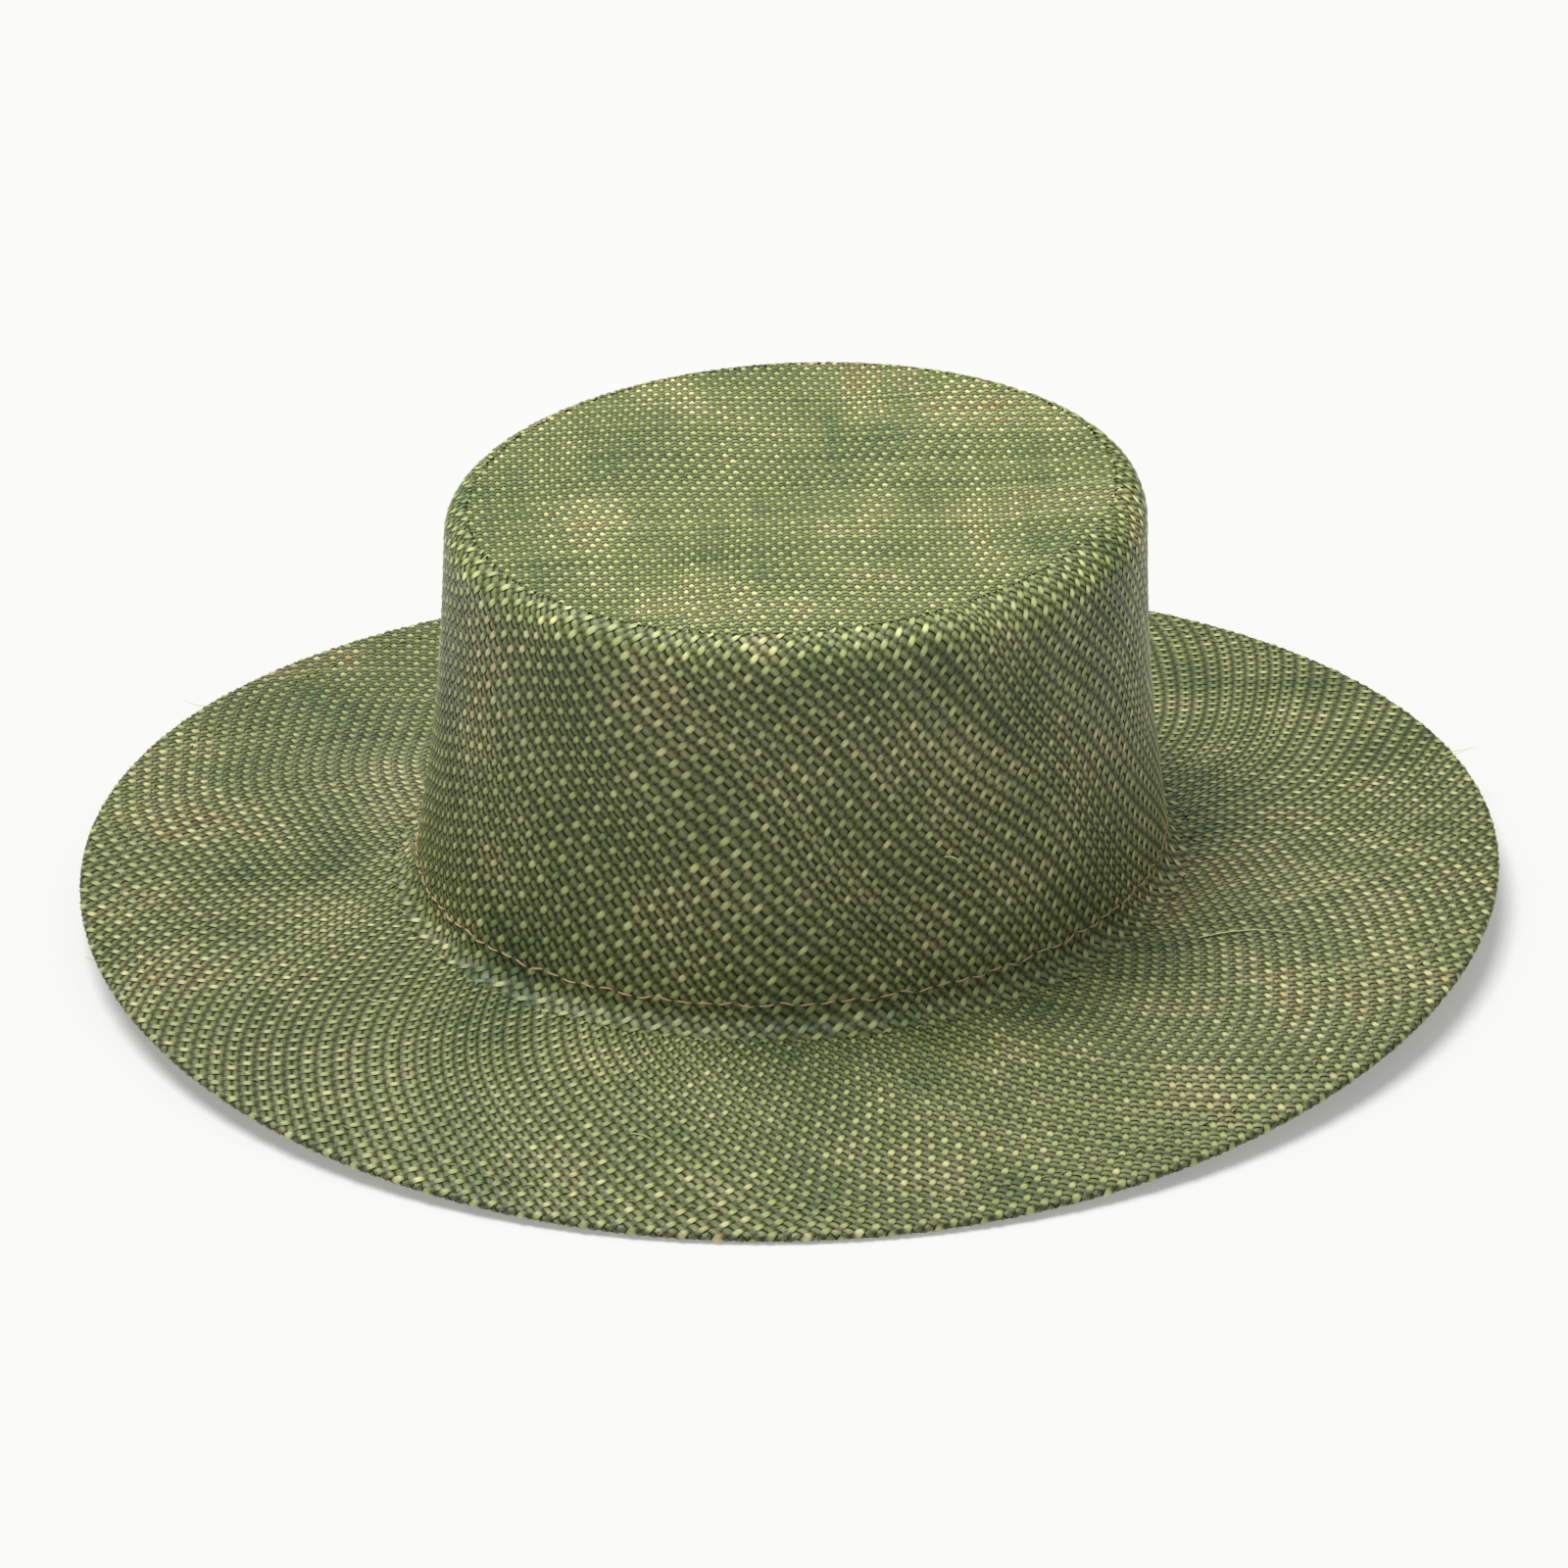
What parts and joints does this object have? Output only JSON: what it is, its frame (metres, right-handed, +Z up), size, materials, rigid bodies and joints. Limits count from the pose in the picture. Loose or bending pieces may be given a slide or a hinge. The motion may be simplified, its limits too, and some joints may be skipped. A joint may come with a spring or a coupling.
{
  "type": "flat top straw hat",
  "caption": "Wide-brimmed hat woven from green straw, with a flat-topped crown, a gently sloping turned-under brim edge and a band sewn inside",
  "frame": {"origin": "under the middle of the brim, on the surface the hat stands on", "axes": "+Z up through the crown, +Y along the longer half of the head oval, +X across it"},
  "size_m": [0.3518, 0.3726, 0.1108],
  "materials": {
    "straw": "shiny woven straw, dyed green",
    "ribbon": "matt ribbed ribbon"
  },
  "bodies": {
    "root": {"woven_body": "straw", "sweatband": "ribbon"}
  },
  "joints": []
}
